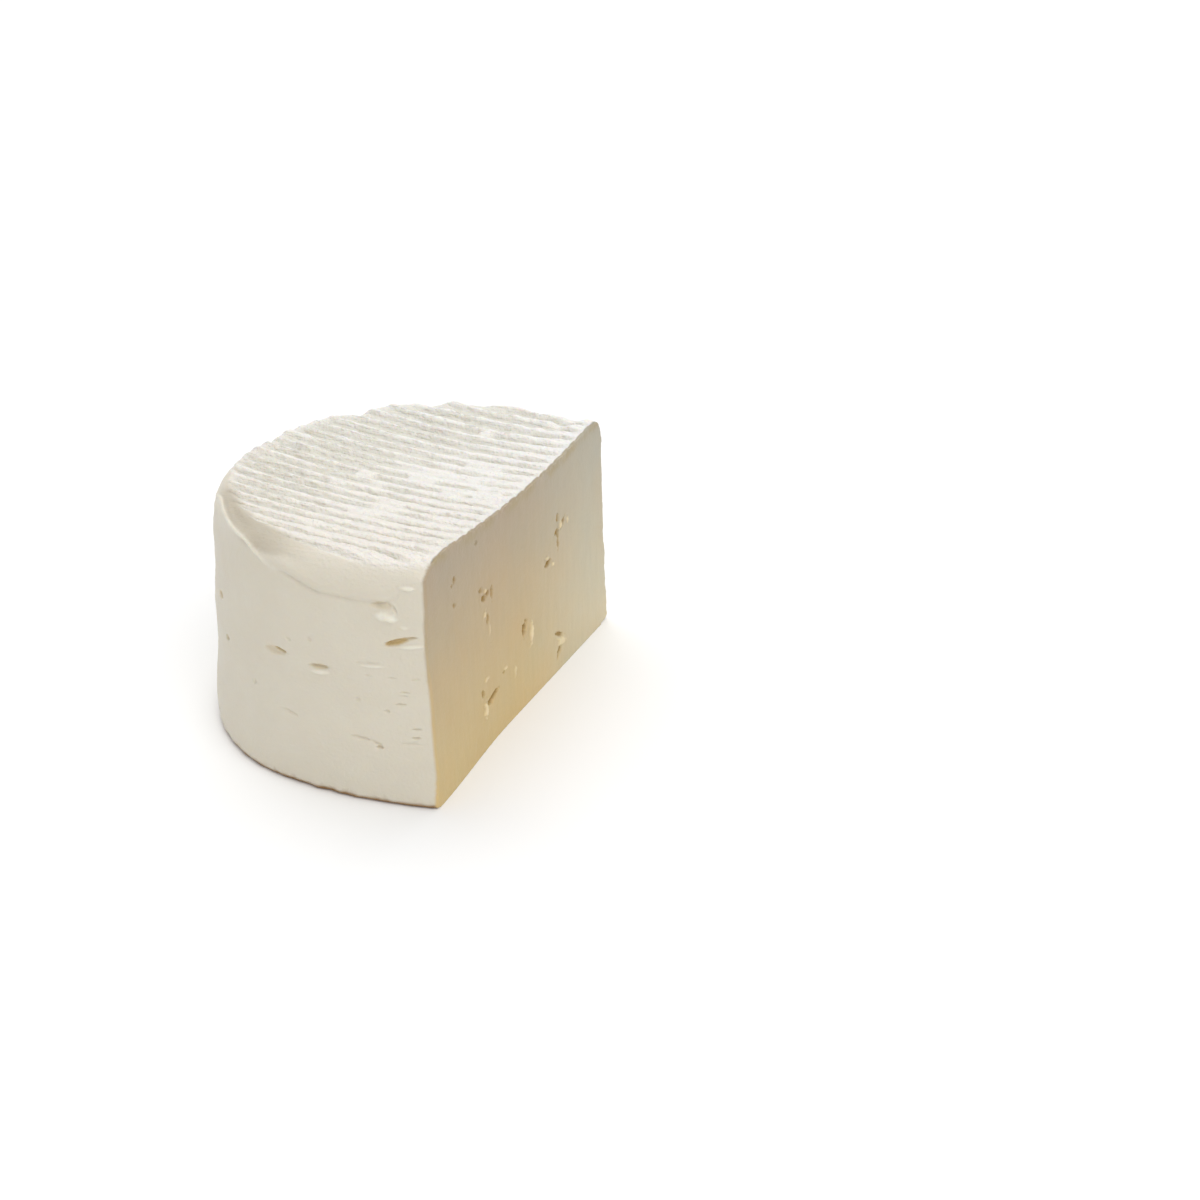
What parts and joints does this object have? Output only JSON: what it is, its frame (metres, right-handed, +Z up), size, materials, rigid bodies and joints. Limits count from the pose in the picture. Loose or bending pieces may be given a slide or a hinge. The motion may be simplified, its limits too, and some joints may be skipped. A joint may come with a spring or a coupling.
{
  "type": "goat cheese",
  "caption": "Block of fresh moulded goat cheese: a small wheel with a dished, ribbed top, a rounded shoulder and small openings, with a segment sliced off flat.",
  "frame": {"origin": "on the surface the cheese rests on, under the middle of its bounding box", "axes": "+X out of the knife-cut face, +Y along the cut, +Z up along the axis of the moulded wheel"},
  "size_m": [0.0774, 0.1094, 0.058],
  "materials": {
    "fresh_paste": "moist off-white fresh curd, half matt"
  },
  "bodies": {
    "root": {"cheese_wheel": "fresh_paste"}
  },
  "joints": []
}
